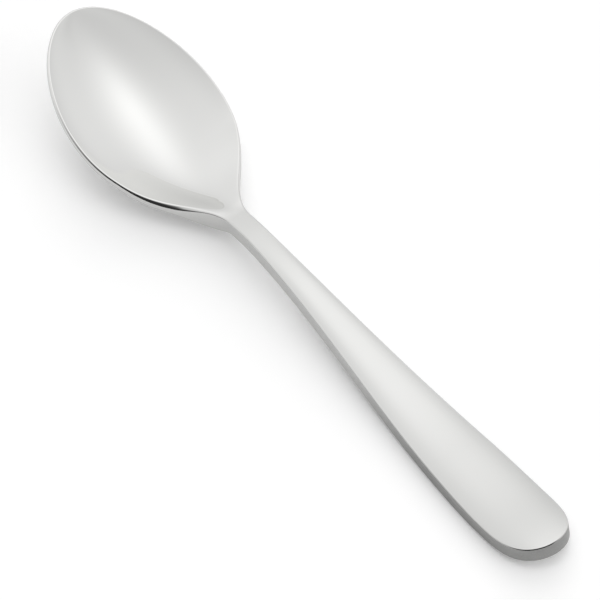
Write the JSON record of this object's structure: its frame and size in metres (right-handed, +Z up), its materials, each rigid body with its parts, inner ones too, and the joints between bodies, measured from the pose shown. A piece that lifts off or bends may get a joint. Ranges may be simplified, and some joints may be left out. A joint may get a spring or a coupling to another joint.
{
  "type": "demitasse spoon",
  "caption": "Small stainless steel spoon with an egg-shaped polished bowl, a slim neck and a flat satin handle that widens to a round end, for stirring small cups of coffee.",
  "frame": {"origin": "on the table under the middle of the spoon's length and width, with the spoon lying on its belly and its handle", "axes": "+Y from the handle's end to the bowl's tip, +Z up out of the hollow, +X across"},
  "size_m": [0.0238, 0.115, 0.0136],
  "materials": {
    "polished_steel": "mirror polished stainless steel",
    "fine_satin_steel": "stainless steel, from polished at the bowl to satin at the handle",
    "satin_steel": "satin stainless steel with softly ground edges"
  },
  "bodies": {
    "root": {"bowl": "polished_steel", "neck": "fine_satin_steel", "handle": "satin_steel"}
  },
  "joints": []
}
